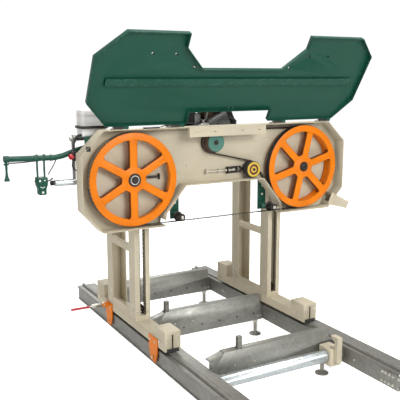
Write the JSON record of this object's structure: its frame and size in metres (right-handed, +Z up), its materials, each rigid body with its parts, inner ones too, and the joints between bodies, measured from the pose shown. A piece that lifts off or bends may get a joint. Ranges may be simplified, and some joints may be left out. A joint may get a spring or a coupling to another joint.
{
  "type": "portable band sawmill",
  "caption": "Horizontal band saw for logs: a wheeled saw head with two spoked band wheels and an open hinged cover, on four masts over a bed of two rails and cross bunks.",
  "frame": {"origin": "centre of the floor footprint, on the floor", "axes": "+X along the blade from the idle wheel to the drive wheel, +Y along the rails away from the operator's view of the cover, +Z up"},
  "size_m": [2.033, 2.1, 1.775],
  "materials": {
    "beige": "satin cream powder coat",
    "green": "gloss dark green powder coat",
    "orange": "satin orange enamel",
    "galvanised": "dull galvanised steel",
    "rubber": "moulded black rubber",
    "blade_steel": "ground spring steel",
    "dark_steel": "dark oiled steel",
    "engine_black": "semi-gloss black enamel",
    "yellow": "yellow zinc plate",
    "tank_plastic": "translucent white moulded plastic",
    "red": "red moulded grip over steel"
  },
  "bodies": {
    "root": {"left_rail": "galvanised", "right_rail": "galvanised", "rear_bunk": "galvanised", "middle_bunk": "galvanised", "front_bunk": "galvanised", "left_splice_plate": "galvanised", "right_splice_plate": "galvanised", "clamp_tube": "galvanised"},
    "log_rest_front": {"log_rest_front": "galvanised"},
    "log_rest_middle": {"log_rest_middle": "galvanised"},
    "clamp": {"clamp_block": "beige"},
    "clamp_dog": {"clamp_dog": "dark_steel"},
    "carriage": {"left_base": "beige", "right_base": "beige", "left_front_post": "beige", "right_front_post": "beige", "left_rear_post": "beige", "right_rear_post": "beige", "mast_cross_beam": "beige", "front_rail_hook": "orange", "rear_rail_hook": "orange", "left_lift_chain": "dark_steel", "right_lift_chain": "dark_steel"},
    "left_front_track_wheel": {"left_front_track_wheel": "dark_steel"},
    "left_rear_track_wheel": {"left_rear_track_wheel": "dark_steel"},
    "right_front_track_wheel": {"right_front_track_wheel": "dark_steel"},
    "right_rear_track_wheel": {"right_rear_track_wheel": "dark_steel"},
    "rail_lock": {"rail_lock": "red"},
    "lift_shaft": {"lift_shaft": "dark_steel", "lift_crank": "galvanised"},
    "left_chain_sprocket": {"left_chain_sprocket": "dark_steel"},
    "right_chain_sprocket": {"right_chain_sprocket": "dark_steel"},
    "head": {"head_pan": "beige", "front_beam": "beige", "head_frame": "beige", "guide_bar": "galvanised", "right_guide_arm": "green", "engine": "engine_black", "engine_tank": "engine_black", "lube_tank": "tank_plastic", "operator_handle": "green", "control_box": "green", "saw_blade": "blade_steel", "drive_belt": "rubber"},
    "drive_wheel": {"drive_wheel": "orange", "drive_tyre": "rubber"},
    "tension_slide": {"tension_block": "dark_steel"},
    "idle_wheel": {"idle_wheel": "orange", "idle_tyre": "rubber"},
    "tension_handle": {"tension_handle": "galvanised"},
    "engine_pulley": {"engine_pulley": "green"},
    "belt_idler_slide": {"belt_idler_slide": "dark_steel"},
    "belt_idler": {"belt_idler": "yellow"},
    "left_guide_arm": {"left_guide_arm": "green"},
    "left_guide_roller": {"left_guide_roller": "dark_steel"},
    "right_guide_roller": {"right_guide_roller": "dark_steel"},
    "blade_cover": {"blade_cover": "green"},
    "throttle_lever": {"throttle_lever": "dark_steel"},
    "lube_valve": {"lube_valve": "red"}
  },
  "joints": [
    {"name": "front_rest_rise", "type": "slide", "parent": "root", "child": "log_rest_front", "axis": [0, 0, 1], "range_m": [-0.055, 0.12]},
    {"name": "middle_rest_rise", "type": "slide", "parent": "root", "child": "log_rest_middle", "axis": [0, 0, 1], "range_m": [-0.055, 0.12]},
    {"name": "clamp_travel", "type": "slide", "parent": "root", "child": "clamp", "axis": [1, 0, 0], "range_m": [-0.55, 0.02]},
    {"name": "clamp_dog_rise", "type": "slide", "parent": "clamp", "child": "clamp_dog", "axis": [0, 0, 1], "range_m": [0, 0.1]},
    {"name": "carriage_travel", "type": "slide", "parent": "root", "child": "carriage", "axis": [0, 1, 0], "range_m": [-0.7, 0.38]},
    {"name": "rail_lock_swing", "type": "hinge", "parent": "carriage", "child": "rail_lock", "pos_m": [-0.4031, 0.46, 0.244], "axis": [0, 1, 0], "range_deg": [-25, 60]},
    {"name": "lift_shaft_turn", "type": "hinge", "parent": "carriage", "child": "lift_shaft", "pos_m": [0.1369, 0.44, 1.232], "axis": [1, 0, 0], "range_deg": [-130, 990]},
    {"name": "left_sprocket_turn", "type": "hinge", "parent": "carriage", "child": "left_chain_sprocket", "pos_m": [-0.3101, 0.115, 0.312], "axis": [1, 0, 0], "range_deg": [-130, 990]},
    {"name": "right_sprocket_turn", "type": "hinge", "parent": "carriage", "child": "right_chain_sprocket", "pos_m": [0.5509, 0.115, 0.312], "axis": [1, 0, 0], "range_deg": [-130, 990]},
    {"name": "head_lift", "type": "slide", "parent": "carriage", "child": "head", "axis": [0, 0, 1], "range_m": [-0.48, 0.06]},
    {"name": "drive_wheel_turn", "type": "hinge", "parent": "head", "child": "drive_wheel", "pos_m": [0.6719, 0, 1.05], "axis": [0, 1, 0], "continuous": true},
    {"name": "blade_tension", "type": "slide", "parent": "head", "child": "tension_slide", "axis": [1, 0, 0], "range_m": [0, 0.01]},
    {"name": "idle_wheel_turn", "type": "hinge", "parent": "tension_slide", "child": "idle_wheel", "pos_m": [-0.3981, 0, 1.05], "axis": [0, 1, 0], "continuous": true},
    {"name": "tension_handle_turn", "type": "hinge", "parent": "head", "child": "tension_handle", "pos_m": [-0.7131, 0.06, 1.05], "axis": [1, 0, 0], "continuous": true},
    {"name": "engine_pulley_turn", "type": "hinge", "parent": "head", "child": "engine_pulley", "pos_m": [0.0819, 0, 1.218], "axis": [0, 1, 0], "continuous": true},
    {"name": "belt_adjust", "type": "slide", "parent": "head", "child": "belt_idler_slide", "axis": [1, 0, 0], "range_m": [-0.01, 0]},
    {"name": "belt_idler_turn", "type": "hinge", "parent": "belt_idler_slide", "child": "belt_idler", "pos_m": [0.3259, 0, 1.056], "axis": [0, 1, 0], "continuous": true},
    {"name": "left_guide_travel", "type": "slide", "parent": "head", "child": "left_guide_arm", "axis": [1, 0, 0], "range_m": [0, 0.35]},
    {"name": "left_roller_turn", "type": "hinge", "parent": "left_guide_arm", "child": "left_guide_roller", "pos_m": [-0.1331, 0, 0.8303], "axis": [0, 1, 0], "continuous": true},
    {"name": "right_roller_turn", "type": "hinge", "parent": "head", "child": "right_guide_roller", "pos_m": [0.4599, 0, 0.8303], "axis": [0, 1, 0], "continuous": true},
    {"name": "cover_swing", "type": "hinge", "parent": "head", "child": "blade_cover", "pos_m": [0.1369, -0.045, 1.3185], "axis": [1, 0, 0], "range_deg": [0, 150]},
    {"name": "throttle_swing", "type": "hinge", "parent": "head", "child": "throttle_lever", "pos_m": [-1.0031, 0.125, 1.177], "axis": [1, 0, 0], "range_deg": [-30, 60]},
    {"name": "lube_valve_turn", "type": "hinge", "parent": "head", "child": "lube_valve", "pos_m": [-0.6931, 0.076, 1.176], "axis": [1, 0, 0], "range_deg": [0, 90]},
    {"name": "left_front_wheel_roll", "type": "hinge", "parent": "carriage", "child": "left_front_track_wheel", "pos_m": [-0.3221, -0.225, 0.2493], "axis": [-1, 0, 0], "continuous": true},
    {"name": "left_rear_wheel_roll", "type": "hinge", "parent": "carriage", "child": "left_rear_track_wheel", "pos_m": [-0.3221, 0.605, 0.2493], "axis": [-1, 0, 0], "continuous": true},
    {"name": "right_front_wheel_roll", "type": "hinge", "parent": "carriage", "child": "right_front_track_wheel", "pos_m": [0.5389, -0.225, 0.2493], "axis": [-1, 0, 0], "continuous": true},
    {"name": "right_rear_wheel_roll", "type": "hinge", "parent": "carriage", "child": "right_rear_track_wheel", "pos_m": [0.5389, 0.605, 0.2493], "axis": [-1, 0, 0], "continuous": true}
  ],
  "couplings": [
    {"joint": "left_front_wheel_roll", "follows": "carriage_travel", "rad_per_m": 22.222},
    {"joint": "left_rear_wheel_roll", "follows": "carriage_travel", "rad_per_m": 22.222},
    {"joint": "right_front_wheel_roll", "follows": "carriage_travel", "rad_per_m": 22.222},
    {"joint": "right_rear_wheel_roll", "follows": "carriage_travel", "rad_per_m": 22.222},
    {"joint": "lift_shaft_turn", "follows": "head_lift", "rad_per_m": -35.336},
    {"joint": "left_sprocket_turn", "follows": "head_lift", "rad_per_m": -35.336},
    {"joint": "right_sprocket_turn", "follows": "head_lift", "rad_per_m": -35.336},
    {"joint": "idle_wheel_turn", "follows": "drive_wheel_turn", "ratio": 1},
    {"joint": "engine_pulley_turn", "follows": "drive_wheel_turn", "ratio": 4},
    {"joint": "belt_idler_turn", "follows": "drive_wheel_turn", "ratio": -5}
  ]
}
